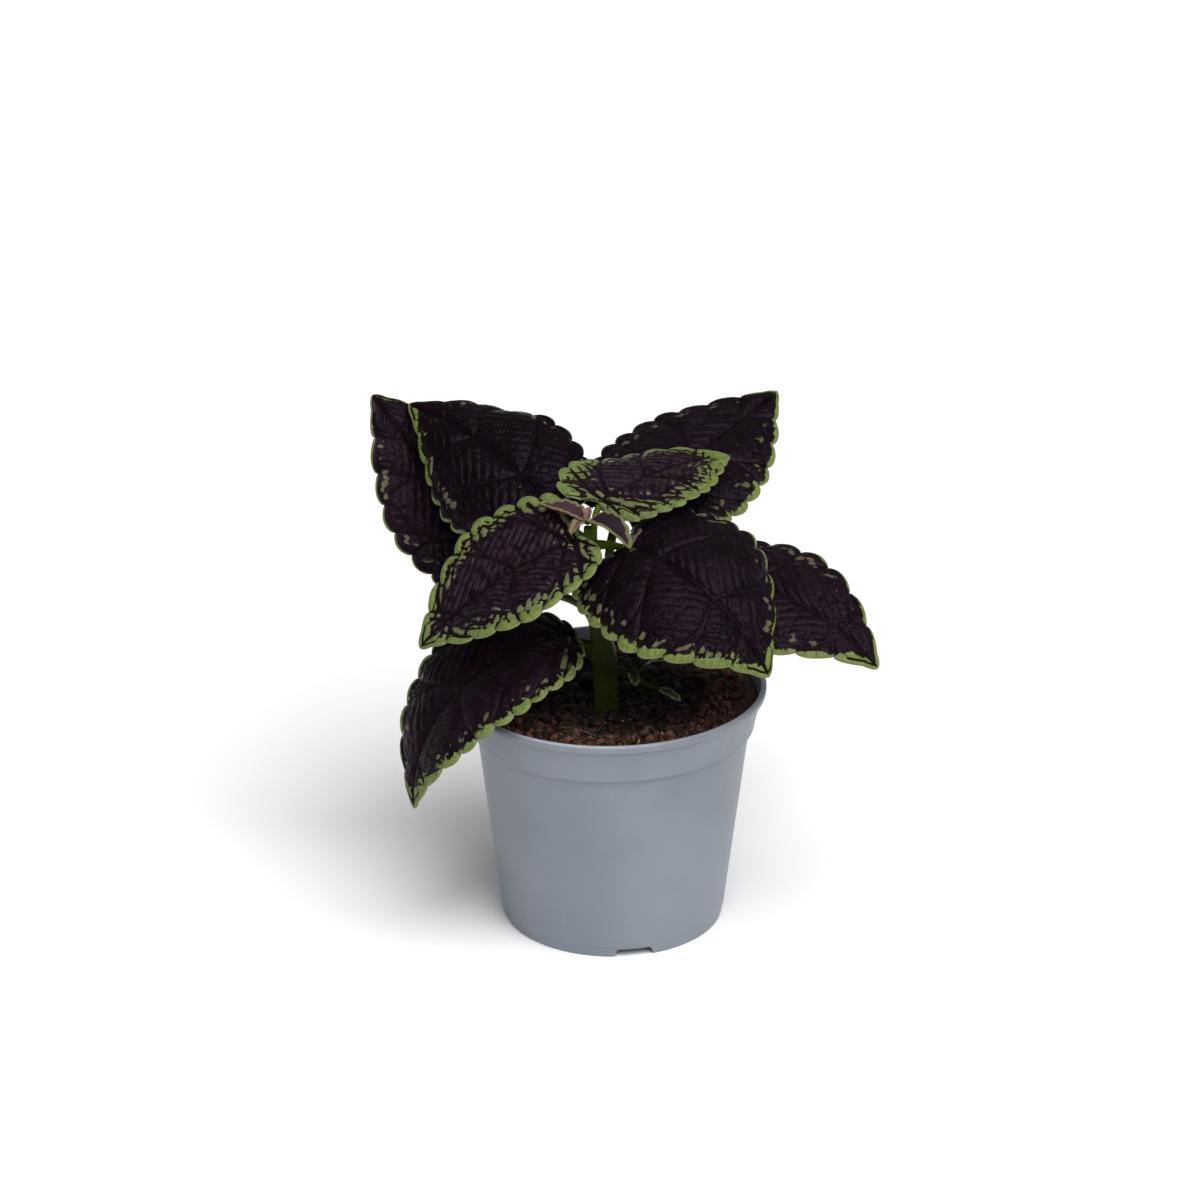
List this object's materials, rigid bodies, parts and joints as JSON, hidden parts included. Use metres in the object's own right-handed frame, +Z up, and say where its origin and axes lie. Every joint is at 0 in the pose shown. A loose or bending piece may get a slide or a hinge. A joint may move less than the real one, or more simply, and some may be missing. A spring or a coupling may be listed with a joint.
{
  "type": "potted coleus",
  "caption": "Young coleus with dark purple leaves edged in lime green, standing in peat in a round grey plastic nursery pot.",
  "frame": {"origin": "middle of the whole plant's bounding box on the ground; the pot's axis stands 2.6 mm towards -X and 10.1 mm towards -Y of it", "axes": "+Z up along the pot's axis, -Y towards the viewer, so the two lowest front leaves hang to -X and reach to +X"},
  "size_m": [0.202, 0.1542, 0.1993],
  "materials": {
    "pot": "satin moulded polypropylene, blue grey",
    "soil": "moist fibrous peat, dark brown",
    "stem": "fresh green stem, soft sheen",
    "leaf": "dark purple leaf with a lime green scalloped edge, soft sheen",
    "young_leaf": "pale purple young leaf with a cream edge, downy"
  },
  "bodies": {
    "root": {"pot": "pot", "soil": "soil", "stem": "stem", "leaf_low_left": "leaf", "leaf_upper_left": "leaf", "leaf_upper_right": "leaf", "leaf_front_right": "leaf", "leaf_low_right": "leaf", "leaf_back_right": "leaf", "leaf_back_left": "leaf", "leaf_far_left": "leaf", "young_leaves": "young_leaf"}
  },
  "joints": []
}
